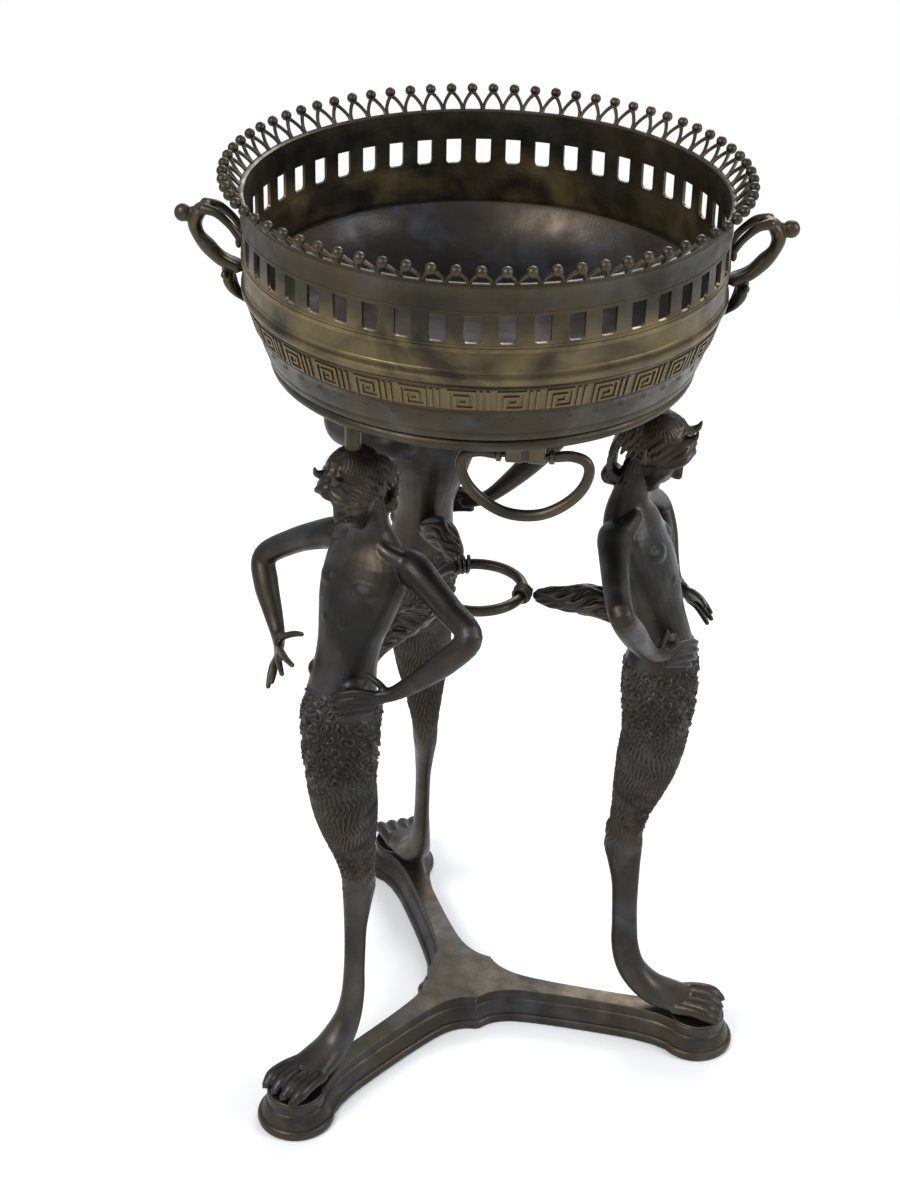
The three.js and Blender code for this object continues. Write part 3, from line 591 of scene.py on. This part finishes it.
def bodyShapes():
    levels = smoothed([(x, z, a, b, 0) for z, x, a, b in figure["levels"]] + figure["foot"], 3)
    shapes = [loftShape([ovalRing(*row) for row in levels])]
    for s in (-1, 1):
        shapes += [ballShape((138.4, s * 15.5, 512), (21.8, 19, 15)),  # chest
                   ballShape((120.6, s * 17, 519), (8, 13, 14)),  # shoulder blade
                   ballShape((150.6, s * 12.5, 404), (18.6, 16, 21)),  # buttock
                   ballShape((163.6, s * 17, 434), (13, 12, 9)),  # hip crease
                   ballShape((155.4, s * 8.8, 461), (17.2, 10, 15)),  # belly, lower and upper
                   ballShape((150.6, s * 9, 485), (19, 11, 12)),
                   tubeShape([(128, s * 4, 552, 5), (131, s * 20, 543, 6.4),  # collar bone
                              (124, s * 36, 535, 9)], 12)]
    shapes.append(tubeShape([(123, 0, 548, 14), (128.5, 0, 570, 13.4), (137, 0, 592, 13.6)], 20))  # neck
    for y in (-15.4, -5.2, 5.2, 15.4):  # toes, each with a claw
        shapes.append(tubeShape([(200, y * 0.86, 43, 6.6), (216, y * 1.04, 44.6, 6),
                                 (229, y * 1.12, 42.4, 6.2), (237, y * 1.08, 38.2, 4.4)], 14))
        shapes.append(tubeShape([(238, y * 1.08, 40, 2.4, 1.2), (241.4, y * 1.07, 36.6, 1.4)], 8, 3))
    shapes.append(tubeShape([(131, 0, 226, 6.6), (129.4, 0, 207, 5.6), (134, 0, 188, 5)], 12))  # hock
    return shapes


def hairLock(start, end, lift, width, wave, phase):
    rows = []
    for i in range(9):
        t = i / 8
        base = [a + (b - a) * t for a, b in zip(start, end)]
        out = lift * math.sin(math.pi * t)
        sway = wave * math.sin(phase + t * 2.6 * math.pi)
        grow = 1 + out / (math.hypot(*base) or 1)
        rows.append((base[0] * grow, base[1] * grow + sway, base[2] * grow, width * (1 - 0.55 * t * t)))
    return tubeShape(rows, 8, 2)


def headShapes():
    across = (0, 0, 1)
    parts = [ballShape((-2, 0, 6), (27, 22.6, 26)),  # skull
             tubeShape([(6, 0, 2, 19, 1.05), (11, 0, -12, 16, 1.06), (15, 0, -22, 10.5, 1.1),
                        (17.6, 0, -28, 7, 1.1)], 20),  # face down to the chin
             tubeShape([(21.6, 0, 9, 2.4, 1.1), (26.6, 0, 0, 2.6), (30.6, 0, -7.4, 3.2)], 12),  # nose
             ballShape((28, 0, -8.6), (3.6, 4.8, 2.6)),
             tubeShape([(22.4, -5.4, -15, 1.7), (25.3, 0, -14.2, 2), (22.4, 5.4, -15, 1.7)], 8, side=across),
             tubeShape([(21.8, -4.6, -17.8, 1.7), (24.6, 0, -18, 2.2), (21.8, 4.6, -17.8, 1.7)], 8,
                       side=across),  # lips, upper and lower
             ballShape((20, 0, -26), (5.6, 6.4, 5)),  # chin
             ballShape((-10, 0, -43), (8.6, 11, 9))]  # hair gathered at the nape
    for s in (-1, 1):
        parts += [tubeShape([(23.2, s * 2.6, 7, 1.5), (21.6, s * 9, 8.4, 1.7), (15.8, s * 15, 5.8, 1.5)], 8,
                            side=across),  # brow
                  ballShape((19.4, s * 8.4, 2.6), (3.5, 4.4, 3.2)),  # eye
                  ballShape((16.4, s * 10.6, -6.6), (6.2, 6.4, 6.6)),  # cheek
                  tubeShape([(13, s * 9, 26, 3.8), (16.4, s * 10.4, 31.6, 3),
                             (15, s * 10, 38, 1.2)], 10),  # horn
                  tubeShape([(-2, s * 20.6, -8, 3), (-4, s * 24.4, -2, 4, 0.6), (-9, s * 27.4, 5, 1.2)], 10,
                            side=(1, 0, 0))]  # ear
        for k in range(9):  # waved locks from the parting back
            t = k / 8
            start = (21 - 34 * t, s * (3 + 3 * t), 21 + 8 * math.sin(math.pi * t))
            end = (12 - 36 * t, s * (21 - 3.4 * t), -1 - 17 * t)
            parts.append(hairLock(start, end, 8.4, 3.1, 1.1, k * 1.7))
    parts.append(tubeShape([(21.6, -14, 12, 2.4), (25.6, 0, 17.4, 2.6), (21.6, 14, 12, 2.4)], 10,
                           side=across))  # band
    for k in range(7):
        a = math.pi * (k / 6 - 0.5)
        parts.append(hairLock((-27, 8 * math.sin(a), -2), (-11, 9 * math.sin(a), -42), 5, 3.6, 0.9, k * 1.3))
    turn = Matrix.Translation(figure["headPlace"]) @ Matrix.Rotation(math.radians(figure["headBow"]), 4, "Y")
    return [moved(p, turn) for p in parts]


arms = {
    "hip": {
        "path": [(119, -30, 530, 14), (121, -42, 531, 14.4), (124, -60, 526, 12.4), (131, -90, 518, 10.9),
                 (140.5, -120, 510.6, 10.2), (148, -104, 487, 11), (154, -82, 463, 8.6),
                 (161, -63, 445, 6.3), (170, -50, 438, 6.6, 0.66), (174, -45, 436, 6, 0.6)],
        "fingers": [[(173, -48, 442), (181, -38, 443), (188, -28, 440), (191, -20, 436)],
                    [(174, -48, 437), (183, -38, 437), (190, -28, 433), (192, -20, 429)],
                    [(173, -49, 433), (182, -40, 431), (189, -30, 427), (191, -23, 423)],
                    [(171, -50, 429), (179, -42, 426), (186, -34, 422), (188, -28, 418)],
                    [(165, -56, 443), (166, -50, 448), (167, -44, 451), (168, -38, 453)]]},
    "open": {
        "path": [(119, 30, 530, 14), (121, 42, 531, 14.2), (123, 60, 524, 12.2), (129, 86, 510, 10.6),
                 (137, 112, 489, 10.2), (145, 103, 470, 10.4), (152, 88, 452, 8.2), (159, 75, 440, 6.2),
                 (168, 64, 436, 6.4, 0.7), (175, 57, 435, 6, 0.62)],
        "fingers": [[(176, 55, 440), (182, 45, 443), (188, 34, 445), (192, 23, 446)],
                    [(177, 55, 436), (184, 48, 438), (190, 40, 438), (196, 31, 436)],
                    [(177, 57, 432), (184, 52, 430), (190, 47, 427), (196, 43, 423)],
                    [(174, 60, 429), (181, 58, 425), (187, 55, 419), (192, 52, 413)],
                    [(166, 66, 441), (166, 57, 448), (165, 48, 453), (165, 40, 456)]]},
    "raised": {
        "path": [(119, 30, 530, 14), (124, 42, 530, 14), (137, 54, 526, 12.2), (162, 62, 519, 10.6),
                 (188, 68, 513, 10.2), (207, 69, 514, 9.6), (226, 67, 520, 7.6), (242, 65, 525, 6),
                 (253, 64, 527, 6, 1.3), (260, 63.6, 527.6, 5, 1.3)],
        "fingers": [[(261, 58, 529), (267, 55, 532), (274, 53, 535), (280, 51, 536)],
                    [(263, 62, 528), (270, 61, 530), (277, 60, 532), (284, 59, 532)],
                    [(263, 66, 527), (270, 67, 528), (277, 67.6, 529), (283, 68, 528)],
                    [(261, 70, 526), (267, 72, 526), (273, 74, 526), (278, 75, 524)],
                    [(250, 57, 529), (255, 51, 532), (260, 47, 535), (265, 45, 538)]]},
    "fingerWidths": (3.3, 3.1, 2.8, 2.3),
}


def armShapes(kind):
    arm = arms[kind]
    shapes = [tubeShape(arm["path"], 20, 6)]
    for finger in arm["fingers"]:
        shapes.append(tubeShape([(*p, r) for p, r in zip(finger, arms["fingerWidths"])], 10, 4))
    return shapes


fur = {"axis": 158, "reach": 46, "edge": 418, "edgeSwing": 9, "fade": 7, "curlsFrom": (322, 352),
       "wavesFrom": (192, 244), "waveAxis": 152, "curlSize": 12.4, "curlLift": 3.3, "waveLift": 2.4}
hair = {"low": 566, "axis": 143, "lift": 0.8}


# Height from 0 to 1 of long wavy strands at each point, round an upright axis at centreX
def waves(p, centreX, twist):
    angle = np.arctan2(p[:, 1], p[:, 0] - centreX)
    u = angle * 24
    v = p[:, 2]
    strand = np.sin(u * 0.95 + 1.9 * np.sin(v * 0.16 + twist) + 0.8 * np.sin(v * 0.37 + u * 0.21))
    return 1 - np.abs(strand) ** 1.4


# Height from 0 to 1 of curls that stand in staggered rows, each a small spiral
def curls(p, centreX):
    u = np.arctan2(p[:, 1], p[:, 0] - centreX) * 27
    v = p[:, 2]
    size = fur["curlSize"]
    u = u + 2.4 * np.sin(v * 0.13) + 1.6 * np.sin(u * 0.19 + v * 0.07)
    v = v + 2.6 * np.sin(u * 0.17 + 1.0)
    row = np.round(v / (size * 0.87))
    cu = (np.round(u / size - 0.5 * (row % 2)) + 0.5 * (row % 2)) * size
    cv = row * size * 0.87
    du, dv = u - cu, v - cv
    rho, phi = np.hypot(du, dv), np.arctan2(dv, du)
    hand = np.where((row + np.round(u / size)) % 2 == 0, 1, -1)
    ridge = 0.5 + 0.5 * np.cos(hand * phi + rho * 2 * math.pi / 4.4 + row * 1.9)
    return ridge * np.clip(1.35 - rho / (size * 0.56), 0, 1)


def addFur(piece):
    mesh = piece.data
    count = len(mesh.vertices)
    co = np.empty(count * 3)
    no = np.empty(count * 3)
    mesh.vertices.foreach_get("co", co)
    mesh.vertices.foreach_get("normal", no)
    p, normal = co.reshape(-1, 3) / mm, no.reshape(-1, 3)
    height = p[:, 2]
    near = np.hypot(p[:, 0] - fur["axis"], p[:, 1]) < fur["reach"]
    hands = (np.abs(p[:, 1]) > 20) & (height > 405)

    def rise(low, high):
        return np.clip((height - low) / (high - low), 0, 1)

    edge = fur["edge"] + fur["edgeSwing"] * np.cos(np.arctan2(p[:, 1], p[:, 0] - fur["axis"]))
    top = np.clip((edge - height) / fur["fade"], 0, 1)
    curly = top * rise(*fur["curlsFrom"])
    wavy = (1 - rise(*fur["curlsFrom"])) * rise(*fur["wavesFrom"])
    lift = (fur["curlLift"] * curly * curls(p, fur["axis"])
            + fur["waveLift"] * wavy * waves(p, fur["waveAxis"], 0.6))
    lift = np.where(near & ~hands, lift, 0)
    scalp = (height > hair["low"]) & (p[:, 0] < 141 + (height - 592) * 0.75)
    lift += np.where(scalp, hair["lift"] * waves(p, hair["axis"], 2.0), 0)
    p = p + normal * lift[:, None]
    mesh.vertices.foreach_set("co", (p * mm).ravel())
    mesh.update()


def remeshed(piece, voxel, smooth):
    mod = piece.modifiers.new("skin", "REMESH")
    mod.mode = "VOXEL"
    mod.voxel_size = voxel * mm
    ease = piece.modifiers.new("ease", "SMOOTH")
    ease.factor = 0.5
    ease.iterations = smooth
    bpy.context.view_layer.update()
    found = piece.evaluated_get(bpy.context.evaluated_depsgraph_get())
    mesh = bpy.data.meshes.new_from_object(found)
    piece.modifiers.clear()
    piece.data = mesh
    mesh.shade_smooth()


def turnedIntoPlace(piece, angle, mirror):
    if mirror:
        piece.data.transform(turnedBy(angle) @ Matrix.Scale(-1, 4, (0, 1, 0)))
        piece.data.flip_normals()
    else:
        piece.data.transform(turnedBy(angle))


tail = {
    "line": [(140, 0, 428), (120, 3, 442), (104, 3, 448.6), (90, 1, 450), (76, 0, 449), (64, 0, 448.9),
             (53, 0, 448.7)],
    "width": [8, 11, 12.6, 12, 9.8, 8.4, 5.2], "core": 0.82, "strands": 11, "strandReach": 0.86,
    "strandWidth": 0.27, "voxel": 0.9,
}


def tailShape():
    rows = list(zip(tail["line"], tail["width"]))
    shapes = [tubeShape([(*p, w * tail["core"]) for p, w in rows], 14, 5)]
    centres = smoothed([(*p, w) for p, w in rows], 6)
    for k in range(tail["strands"]):
        strand = []
        for i, (x, y, z, w) in enumerate(centres):
            a = 2 * math.pi * k / tail["strands"] + 0.24 * math.sin(i * 0.42 + k * 1.9) + i * 0.055
            r = tail["strandReach"] * w
            strand.append((x, y + r * math.cos(a), z + r * math.sin(a), max(1.2, tail["strandWidth"] * w)))
        shapes.append(tubeShape(strand[::2], 8, 2))
    return together(shapes)


# Nothing of a figure goes below its sole
def floorCut(piece, height):
    mesh = piece.data
    for v in mesh.vertices:
        if v.co.z < height * mm:
            v.co.z = height * mm
    mesh.update()


def makeFigures():
    tailStrands = tailShape()
    for name, angle in figureAngles.items():
        opened = "raised" if name == "rear" else "open"
        shape = together(bodyShapes() + headShapes() + armShapes("hip") + armShapes(opened))
        nodes = [f"satyr_{name}", f"hip_arm_{name}", f"open_arm_{name}"]
        piece = makePiece(f"satyr{name.title()}", shape, "figure_bronze", nodes)
        remeshed(piece, figure["voxel"], figure["ease"])
        addFur(piece)
        floorCut(piece, figure["sole"])
        turnedIntoPlace(piece, angle, name == "left")
        strands = makePiece(f"tail{name.title()}", tailStrands, "figure_bronze", [f"tail_{name}"])
        remeshed(strands, tail["voxel"], 1)
        turnedIntoPlace(strands, angle, name == "left")
    print("figures made")


makeFigures()


# Base and fittings

base = {
    "arm": [(22.5, 38.9), (33, 28), (50, 21), (78, 18.2), (118, 17.2), (158, 17.6), (182, 20.4)],
    "padReach": 218, "padRadius": 34, "padTurn": 142,
    "moulding": [(1.4, 0), (0.4, 1), (0, 2.6), (0, 5.6), (0.8, 7.6), (2.2, 8.7), (3.2, 9), (3.4, 9.8),
                 (4.4, 12), (5.6, 16), (7.2, 19.4), (8.2, 20.8), (8.7, 21.2), (8.7, 30.2), (9.3, 31)],
    "disc": [(0, 30.4), (24.4, 30.4), (24.4, 32.6), (23.9, 33), (22.4, 33), (21.9, 32.6), (0, 32.6)],
}


def makeBase():
    half = [(x, y) for x, y in smoothed([(s, w, 0) for s, w in base["arm"]], 8)[:, :2]]
    for i in range(1, 17):
        t = math.radians(base["padTurn"] * (1 - i / 16.5))
        half.append((base["padReach"] + base["padRadius"] * math.cos(t), base["padRadius"] * math.sin(t)))
    side = half[1:]
    outline = []
    for angle in figureAngles.values():
        c, s = math.cos(math.radians(angle)), math.sin(math.radians(angle))
        loop = [(x, -y) for x, y in side] + [(x, y) for x, y in reversed(side)]
        outline += [(x * c - y * s, x * s + y * c) for x, y in loop]
    flat = np.array(outline)
    ahead, behind = np.roll(flat, -1, axis=0), np.roll(flat, 1, axis=0)
    tangent = ahead - behind
    tangent /= np.linalg.norm(tangent, axis=1)[:, None]
    inward = np.column_stack([-tangent[:, 1], tangent[:, 0]])
    rings = [[(*(q + n * inset), z) for q, n in zip(flat, inward)] for inset, z in base["moulding"]]
    points = [p for ring in rings for p in ring]
    n = len(outline)
    faces = []
    for k in range(len(rings) - 1):
        for i in range(n):
            j = (i + 1) % n
            faces.append((k * n + i, k * n + j, (k + 1) * n + j, (k + 1) * n + i))
    faces += [tuple(range(n)), tuple((len(rings) - 1) * n + i for i in range(n))]
    shapes = [(points, faces)]
    for angle in figureAngles.values():
        place = turnedBy(angle) @ Matrix.Translation((base["padReach"], 0, 0))
        shapes.append(moved(turnedShape(base["disc"], 64), place))
    makePiece("tripodBase", together(shapes), "base_bronze", ["base"], sharp=32)


ring = {"radius": 40, "wire": 4.6, "height": 448.7}
coil = {"turns": 3, "pitch": 4.7, "wire": 1.65, "reach": 6.7, "steps": 90}
post = {"reach": 146, "profile": [(0, 629.4), (6.3, 629.4), (6.3, 655), (6.8, 656.4), (7.8, 657.6),
                                  (7.8, 661), (3.8, 661), (3.8, 674), (0, 674)]}


# Wire wound round the tail ring at a tail
def coilShape():
    rows = []
    for i in range(coil["steps"] + 1):
        t = i / coil["steps"]
        a = (t - 0.5) * coil["turns"] * coil["pitch"] / ring["radius"]
        w = t * coil["turns"] * 2 * math.pi
        r = ring["radius"] + coil["reach"] * math.cos(w)
        rows.append((r * math.cos(a), r * math.sin(a), ring["height"] + coil["reach"] * math.sin(w),
                     coil["wire"]))
    return tubeShape(rows, 10, 1)


def makeFittings():
    turns = [2 * math.pi * i / 20 for i in range(20)]
    section = [(ring["radius"] + ring["wire"] * math.cos(u), ring["height"] + ring["wire"] * math.sin(u))
               for u in turns]
    makePiece("tailRing", turnedShape(section, 120), "fitting_bronze", ["tail_ring"])
    for name, angle in figureAngles.items():
        flip = Matrix.Scale(-1, 4, (0, 1, 0)) if name == "left" else Matrix.Identity(4)
        binding = moved(coilShape(), turnedBy(angle) @ flip)
        makePiece(f"tailBinding{name.title()}", binding, "fitting_bronze", [f"tail_binding_{name}"])
        column = moved(turnedShape(post["profile"], 32),
                       turnedBy(angle) @ Matrix.Translation((post["reach"], 0, 0)))
        makePiece(f"headPost{name.title()}", column, "bowl_bronze", [f"head_post_{name}"])


# A bent figure: its head is outward, its arms reach back to the gallery, its legs end over a leaf
def sideHandleShapes():
    shapes = [tubeShape([(217, 0, 780.5, 5, 1.5), (222.5, 0, 777, 5.8, 1.6), (226, 0, 768, 5.8, 1.45),
                         (223.4, 0, 758, 5, 1.3), (216.5, 0, 749, 6, 1.4), (207, 0, 739.4, 4.8, 1.4),
                         (199, 0, 735, 4.4, 1.7), (190, 0, 733, 4, 2)], 18),
              tubeShape([(222, 0, 779, 3.4), (232, 0, 776.4, 3)], 12),
              ballShape((235, 0, 775.6), (7, 6.2, 7.2)),
              ballShape((240, 0, 773.4), (2, 1.5, 1.6), 10, 6)]
    for s in (-1, 1):
        shapes += [tubeShape([(218, s * 6, 781.5, 4.4), (208, s * 8.6, 779, 3.6),
                              (197.5, s * 10, 769.6, 3.1), (190.5, s * 10.2, 759.6, 3.2)], 12),
                   ballShape((191.4, s * 10.2, 756.6), (2.6, 3.6, 5)),
                   tubeShape([(216, s * 3.6, 748, 5), (206, s * 5, 738.6, 4.2), (194, s * 6, 733, 3.8)], 12),
                   tubeShape([(201, s * 1.4, 729, 4.4), (200.5, s * 8, 723, 4.2),
                              (196.5, s * 6.4, 714, 3), (189.4, s * 1.4, 705, 1.6)], 12),
                   ballShape((203.4, s * 8.6, 728.4), (3, 3.4, 3.4))]
    shapes.append(tubeShape([(202, 0, 731, 4.6, 1.5), (199.5, 0, 720, 4.2, 1.6), (188.6, 0, 704, 1.6)], 14))
    return shapes


def makeSideHandles():
    for name, angle in (("left", 180), ("right", 0)):
        piece = makePiece(f"sideHandle{name.title()}", together(sideHandleShapes()), "fitting_bronze",
                          [f"side_handle_{name}"])
        remeshed(piece, 0.7, 2)
        turnedIntoPlace(piece, angle, False)


bail = {"place": (34, -143, 646), "turn": -4, "collarReach": 20, "lugHalf": 15, "lugThick": 6, "lugTop": 15}
bailFrame = Matrix.Translation(bail["place"]) @ turnedBy(bail["turn"])


def makeDropHandle():
    left = [(-13, 0, 0, 2.4), (-17, 0, 0, 2.4), (-22, 0, 0, 4), (-34, 0, 1.4, 4.2), (-45, 0, -2, 4.2),
            (-48.4, 0, -11, 4.2), (-44, 0, -25, 4.3), (-33, 0, -38, 4.4), (-17, 0, -48, 4.5),
            (0, 0, -51, 4.6)]
    loop = left + [(-x, y, z, r) for x, y, z, r in left[-2::-1]]
    shapes = [tubeShape(loop, 18, 5)]
    collar = turnedShape([(0, -2.2), (4.6, -2.2), (5.7, -1.4), (5.7, 1.4), (4.6, 2.2), (0, 2.2)], 40)
    for s in (-1, 1):
        place = Matrix.Translation((s * bail["collarReach"], 0, 0)) @ Matrix.Rotation(math.pi / 2, 4, "Y")
        shapes.append(moved(collar, place))
    handle = moved(together(shapes), bailFrame)
    makePiece("dropHandle", handle, "fitting_bronze", ["drop_handle"], body="drop_handle")


def makeLug():
    thick, top, half = bail["lugThick"], bail["lugTop"], bail["lugHalf"]
    turns = [math.pi * i / 12 for i in range(13)]
    rows = [(thick, top)] + [(thick * math.cos(u), -thick * math.sin(u)) for u in turns] + [(-thick, top)]
    stations = [(-half, 1), (-half + 1, 0), (-3, 0), (-2, 0.9), (2, 0.9), (3, 0), (half - 1, 0), (half, 1)]
    rings = []
    for x, inset in stations:
        shrink = 1 - inset / 6
        rings.append([(x, y * shrink, z if z > 10 else z * shrink) for y, z in rows])
    makePiece("handleLug", moved(loftShape(rings), bailFrame), "fitting_bronze", ["handle_lug"])


makeBase()
makeLug()
makeFittings()
makeSideHandles()
makeDropHandle()
print("base and fittings made")

for name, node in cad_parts.items():  # nuts, studs and rivets are shown as the CAD has them
    if node.type == "MESH" and any(word in name for word in ("nut", "stud", "rivet")):
        for place in node.material_slots:
            place.material = finishes["fasteners"]

addCamera()
addStudio()
